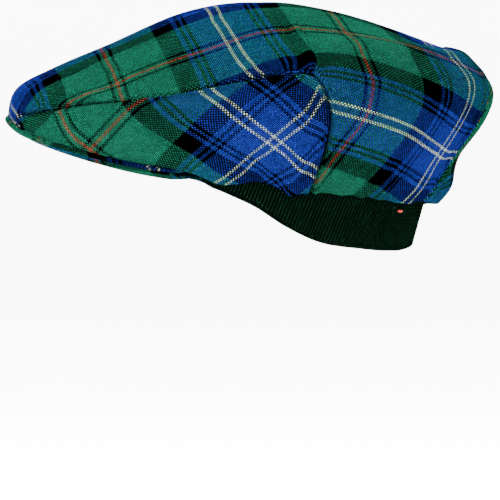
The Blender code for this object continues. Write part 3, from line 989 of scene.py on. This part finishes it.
def varied(tree, value, change):
    """Shade that changes about 1 with a value between 0 and 1."""
    return maths(tree, "MULTIPLY_ADD", value, change, 1 - change / 2)


def by_face(tree, over, first, second):
    """First number where the lengthwise thread lies on top, and the second elsewhere."""
    under = maths(tree, "SUBTRACT", 1.0, over)
    return maths(tree, "ADD", maths(tree, "MULTIPLY", over, first), maths(tree, "MULTIPLY", under, second))


def cloth_places(tree):
    """Place on the cloth as it is cut: the pair, its crosswise part and its lengthwise part."""
    uv = node(tree, "UVMap", uv_map="cloth")
    split = node(tree, "SeparateXYZ")
    tree.links.new(uv.outputs[0], split.inputs[0])
    return uv.outputs[0], split.outputs[0], split.outputs[1]


def relief(tree, shader, height, distance, strength):
    """Fine relief that only the light feels."""
    bump = node(tree, "Bump")
    bump.inputs["Distance"].default_value = distance
    bump.inputs["Strength"].default_value = strength
    tree.links.new(height, bump.inputs["Height"])
    tree.links.new(bump.outputs[0], shader.inputs["Normal"])


def sett_colour(tree, place):
    """Colour of the threads at one distance across the cloth: the sett runs to and fro between
    the middle of the red line and the middle of the white pair."""
    share = maths(tree, "DIVIDE", maths(tree, "PINGPONG", place, HALF_REPEAT), HALF_REPEAT)
    ramp = node(tree, "ValToRGB")
    ramp.color_ramp.interpolation = "CONSTANT"
    stops = ramp.color_ramp.elements
    while len(stops) < len(SETT):
        stops.new(0.5)
    edge = 0
    for stop, (threads, colour) in zip(stops, SETT):
        stop.position = edge * THREAD_PITCH / HALF_REPEAT
        edge += threads
    for stop, (threads, colour) in zip(stops, SETT):
        stop.color = THREAD_COLOURS[colour] + (1.0,)
    tree.links.new(share, ramp.inputs[0])
    return ramp.outputs[0]


def rounded_thread(tree, place):
    """Height across a round thread: 1 in its middle and 0 between it and the next."""
    return maths(tree, "SINE", maths(tree, "MULTIPLY", maths(tree, "FRACT", place), math.pi))


def uneven_yarn(tree, number, place):
    """Value that changes along a thread, in short lengths that differ from thread to thread."""
    length = maths(tree, "MULTIPLY_ADD", number, YARN_SHIFT, maths(tree, "DIVIDE", place, YARN_LENGTH))
    return chance(tree, number, maths(tree, "FLOOR", length))


def tack_yarn(name):
    """Red yarn of the tack."""
    material, tree, shader = matt_material(name, TACK_ROUGHNESS)
    twist = node(tree, "TexWave", bands_direction="DIAGONAL")
    twist.inputs["Scale"].default_value = TWIST_SCALE
    tree.links.new(node(tree, "TexCoord").outputs["Object"], twist.inputs["Vector"])
    shade = mixed(tree, twist.outputs["Fac"], TWIST_DARK + (1.0,), TWIST_LIGHT + (1.0,))
    tree.links.new(shade, shader.inputs["Base Color"])
    return material


def tartan_cloth(name):
    """Woven tartan: lengthwise and crosswise threads take their colours from the same sett, and they
    pass over and under each other in a plain weave. Shade is painted into the colour at the gaps
    between the threads and toward the ends of each float, and the lengthwise threads on top are
    painted lighter than the crosswise ones."""
    material, tree, shader = matt_material(name, CLOTH_ROUGHNESS)
    place, u, v = cloth_places(tree)
    warp = sett_colour(tree, v)
    weft = sett_colour(tree, u)
    thread_u = maths(tree, "DIVIDE", u, THREAD_PITCH)
    thread_v = maths(tree, "DIVIDE", v, THREAD_PITCH)
    number_u = maths(tree, "FLOOR", thread_u)
    number_v = maths(tree, "FLOOR", thread_v)
    count = maths(tree, "ADD", number_u, number_v)
    over = maths(tree, "LESS_THAN", maths(tree, "FLOORED_MODULO", count, 2.0), 0.5)
    on_top = mixed(tree, over, weft, warp)
    beneath = mixed(tree, over, warp, weft)
    cloth = mixed(tree, SHOW_THROUGH, on_top, beneath, "DARKEN")
    across = rounded_thread(tree, thread_v)
    along = rounded_thread(tree, thread_u)
    side = by_face(tree, over, across, along)
    length = by_face(tree, over, along, across)
    height = maths(tree, "MULTIPLY", side, maths(tree, "POWER", length, THREAD_ROUNDNESS))
    # Painted shade: the colour darkens toward the gaps between threads and toward the ends of each float
    shade = maths(tree, "MULTIPLY_ADD", maths(tree, "POWER", height, GAP_WIDTH), 1 - PAINTED_GAP_SHADE, PAINTED_GAP_SHADE)
    fibres = smooth_noise(tree, place, FIBRE_SCALE, FIBRE_DETAIL)
    patches = smooth_noise(tree, place, PATCH_SCALE, PATCH_DETAIL)
    slub = by_face(tree, over, uneven_yarn(tree, number_v, u), uneven_yarn(tree, number_u, v))
    # The crossings, yarns, fibres and wide patches change the tone at random. The face term is painted light:
    # lengthwise threads on top are lighter and crosswise ones darker.
    for value, share in ((chance(tree, number_u, number_v), YARN_CHANGE), (slub, SLUB_CHANGE),
                         (fibres, FIBRE_CHANGE), (over, FACE_PAINTED_LIGHT), (patches, PATCH_CHANGE)):
        shade = maths(tree, "MULTIPLY", shade, varied(tree, value, share))
    tree.links.new(mixed(tree, 1.0, cloth, shade, "MULTIPLY"), shader.inputs["Base Color"])
    felt = maths(tree, "ADD", height, maths(tree, "MULTIPLY", fibres, FIBRE_RELIEF))
    relief(tree, shader, felt, THREAD_RELIEF, RELIEF_STRENGTH)
    return material


def knit_wool(name):
    """Dark green ribbed knit, with shade painted into its colour between the ribs and between the rows of
    stitches.
    """
    material, tree, shader = matt_material(name, KNIT_ROUGHNESS)
    place, along, rise = cloth_places(tree)
    phase = maths(tree, "DIVIDE", maths(tree, "MULTIPLY_ADD", rise, RIB_LEAN, along), RIB_PITCH)
    rib = maths(tree, "ABSOLUTE", maths(tree, "COSINE", maths(tree, "MULTIPLY", phase, math.pi)))
    slope = maths(tree, "ABSOLUTE", maths(tree, "SUBTRACT", maths(tree, "FRACT", phase), 0.5))
    rows = maths(tree, "ADD", maths(tree, "DIVIDE", rise, STITCH_PITCH), slope)
    stitch = maths(tree, "SINE", maths(tree, "MULTIPLY", maths(tree, "FRACT", rows), math.pi))
    height = maths(tree, "MULTIPLY", rib, maths(tree, "MULTIPLY_ADD", stitch, STITCH_SHADE, 1 - STITCH_SHADE))
    fibres = smooth_noise(tree, place, FLUFF_SCALE, FIBRE_DETAIL)
    fluff = maths(tree, "MULTIPLY_ADD", fibres, FLUFF_CHANGE, FLUFF_BASE)
    # Painted shade: the colour darkens between the ribs and between rows of stitches, times the fluff's
    # random tone
    shade = maths(tree, "MULTIPLY", maths(tree, "POWER", height, 2.0), fluff)
    tree.links.new(mixed(tree, 1.0, KNIT_COLOUR + (1.0,), shade, "MULTIPLY"), shader.inputs["Base Color"])
    relief(tree, shader, height, RIB_HEIGHT, 1.0)
    return material


def studio():
    """Pale round floor that sweeps up to a wall on every side, soft lights above and before the
    cap, and a level camera on the cap's left, at the height of the band's lower edge."""
    reach, rise = np.array(FLOOR_PROFILE).T
    azimuth = spread(0, 360, FLOOR_STEPS)[:-1]
    points = turned(reach[:, None] + 0 * azimuth, rise[:, None] + FLOOR_RISE + 0 * azimuth,
                    np.broadcast_to(azimuth, (len(reach), len(azimuth))))
    numbers = grid_numbers(points.shape)
    numbers[0] = 0
    numbers = np.concatenate([numbers, numbers[:, :1]], axis=1)
    paper, tree, shader = matt_material("studio_paper", 1.0)
    shader.inputs["Base Color"].default_value = PAPER_COLOUR
    floor = plain_piece("studio_floor", points, numbers, paper)
    floor.data.flip_normals()
    world = bpy.data.worlds.new("studio_air")
    world.use_nodes = True
    air = world.node_tree.nodes["Background"]
    air.inputs["Color"].default_value = (1.0, 1.0, 1.0, 1.0)
    air.inputs["Strength"].default_value = AIR_STRENGTH
    bpy.context.scene.world = world
    for name, place, turn, size, watts in LIGHTS:
        light = bpy.data.lights.new(name, "AREA")
        light.size = size
        light.energy = watts
        set_down(name, light, place, turn)
    view = bpy.data.cameras.new("camera")
    view.lens = LENS
    view.sensor_width = SENSOR_WIDTH
    bpy.context.scene.camera = set_down("camera", view, EYE_PLACE, EYE_TURN)


def set_down(name, data, place, turn):
    """Light or camera at its place in the scene, turned by degrees about each axis."""
    made = bpy.data.objects.new(name, data)
    made.location = place
    made.rotation_euler = [math.radians(angle) for angle in turn]
    bpy.context.scene.collection.objects.link(made)
    return made


def cut_size(piece):
    """Width, length and area of a cloth as it is cut, from its UV map in metres."""
    mesh = piece.data
    places = np.empty(len(mesh.loops) * 2)
    mesh.uv_layers[0].data.foreach_get("uv", places)
    places = places.reshape(-1, 2)
    first = np.empty(len(mesh.polygons), int)
    total = np.empty(len(mesh.polygons), int)
    mesh.polygons.foreach_get("loop_start", first)
    mesh.polygons.foreach_get("loop_total", total)
    area = 0.0
    for sides in (3, 4):
        ring = places[first[total == sides, None] + np.arange(sides)]
        ahead = np.roll(ring, -1, axis=1)
        cross = ring[..., 0] * ahead[..., 1] - ring[..., 1] * ahead[..., 0]
        area += float(np.abs(cross.sum(1)).sum() / 2)
    width, length = np.ptp(places, axis=0)
    return (float(width), float(length)), area


def dressed(piece, solid):
    """Piece that rides on the cap and stands for a solid, which it hides."""
    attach(piece, "root")
    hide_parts(solid)


studio()
tartan = tartan_cloth("tartan_cloth")
knit = knit_wool("knit_wool")
lines = seam_lines()
top = top_cloth(lines, tartan)
left = side_cloth("side_cloth_left", 1, lines, tartan)
right = side_cloth("side_cloth_right", -1, lines, tartan)
cover = peak_cover(tartan)
band = ribbed_band(knit)
tack = red_tack(tack_yarn("tack_yarn"))
dressed(top, "top_panel")
dressed(left, "side_panel_left")
dressed(right, "side_panel_right")
dressed(cover, "peak")
dressed(band, "ear_band")
dressed(tack, "ear_band")
for cloth, others in ((top, ["side_cloth_left", "side_cloth_right", "ribbed_band"]),
                      (left, ["top_cloth", "ribbed_band"]), (right, ["top_cloth", "ribbed_band"])):
    cut, area = cut_size(cloth)
cut, area = cut_size(band)
